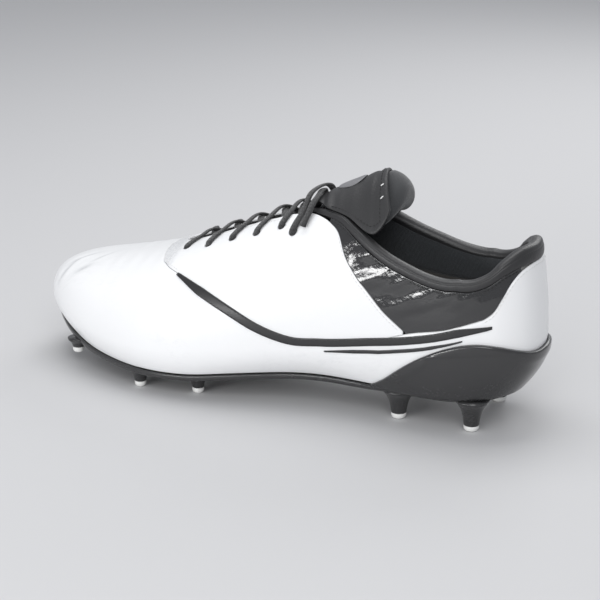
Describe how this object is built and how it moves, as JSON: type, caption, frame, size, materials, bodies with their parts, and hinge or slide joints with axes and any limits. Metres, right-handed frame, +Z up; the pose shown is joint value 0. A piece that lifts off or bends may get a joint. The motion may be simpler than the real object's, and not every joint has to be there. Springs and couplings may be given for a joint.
{
  "type": "soccer cleat",
  "caption": "Low-cut soccer cleat with a smooth synthetic upper, padded collar and tongue, lacing, seam tapes and a moulded stud plate that rises as a heel cup.",
  "frame": {"origin": "centre of the footprint on the ground, under the shoe", "axes": "+X towards the heel, +Y towards the medial side (the left shoe's inner side as worn), +Z up"},
  "size_m": [0.2864, 0.0978, 0.1234],
  "materials": {
    "upper_white": "smooth glossy coated synthetic",
    "ankle_dark": "glossy wrinkled coated synthetic",
    "seam_tape": "satin bonded tape with edge stitching",
    "collar_binding": "satin soft synthetic",
    "lining": "napped knit",
    "foam": "open-cell foam",
    "board": "fibre board",
    "backing": "woven reinforcement",
    "sockliner": "textile over foam",
    "tongue_skin": "soft matt synthetic",
    "tongue_padding": "brushed textile over foam",
    "patch": "matt welded film, no lettering",
    "lace": "flat woven",
    "plate": "moulded satin",
    "stud_tip": "moulded, scuffed"
  },
  "bodies": {
    "shoe": {"outsole_plate": "plate", "stud_tip_heel_lateral_rear": "stud_tip", "stud_tip_heel_medial_rear": "stud_tip", "stud_tip_heel_lateral_front": "stud_tip", "stud_tip_heel_medial_front": "stud_tip", "stud_tip_fore_lateral_rear": "stud_tip", "stud_tip_fore_medial_rear": "stud_tip", "stud_tip_fore_lateral_middle": "stud_tip", "stud_tip_fore_medial_middle": "stud_tip", "stud_tip_fore_lateral_front": "stud_tip", "stud_tip_fore_medial_front": "stud_tip", "stud_tip_fore_centre": "stud_tip", "lasting_board": "board", "sockliner_front": "sockliner", "vamp": "upper_white", "quarter_lateral": "upper_white", "quarter_medial": "upper_white", "ankle_panel_lateral": "ankle_dark", "ankle_panel_medial": "ankle_dark", "eyestay_backing_lateral": "backing", "eyestay_backing_medial": "backing", "seam_tape_upper_lateral": "seam_tape", "seam_tape_upper_medial": "seam_tape", "seam_tape_lower_lateral": "seam_tape", "seam_tape_lower_medial": "seam_tape", "heel_panel": "upper_white", "collar_rim": "collar_binding", "collar_foam": "foam", "collar_lining": "lining", "heel_counter": "board", "heel_lining": "lining", "vamp_lining": "lining", "toe_puff": "board", "tongue_base": "tongue_skin", "lace": "lace"},
    "tongue": {"tongue_flap": "tongue_skin", "tongue_pad": "tongue_padding", "tongue_patch": "patch"},
    "sockliner_rear_flap": {"sockliner_rear": "sockliner"}
  },
  "joints": [
    {"name": "tongue_fold", "type": "hinge", "parent": "shoe", "child": "tongue", "pos_m": [0.0265, 0, 0.1076], "axis": [0, -1, 0], "range_deg": [0, 60]},
    {"name": "sockliner_lift", "type": "hinge", "parent": "shoe", "child": "sockliner_rear_flap", "pos_m": [-0.049, 0, 0.0148], "axis": [0, -1, 0], "range_deg": [0, 7]}
  ]
}
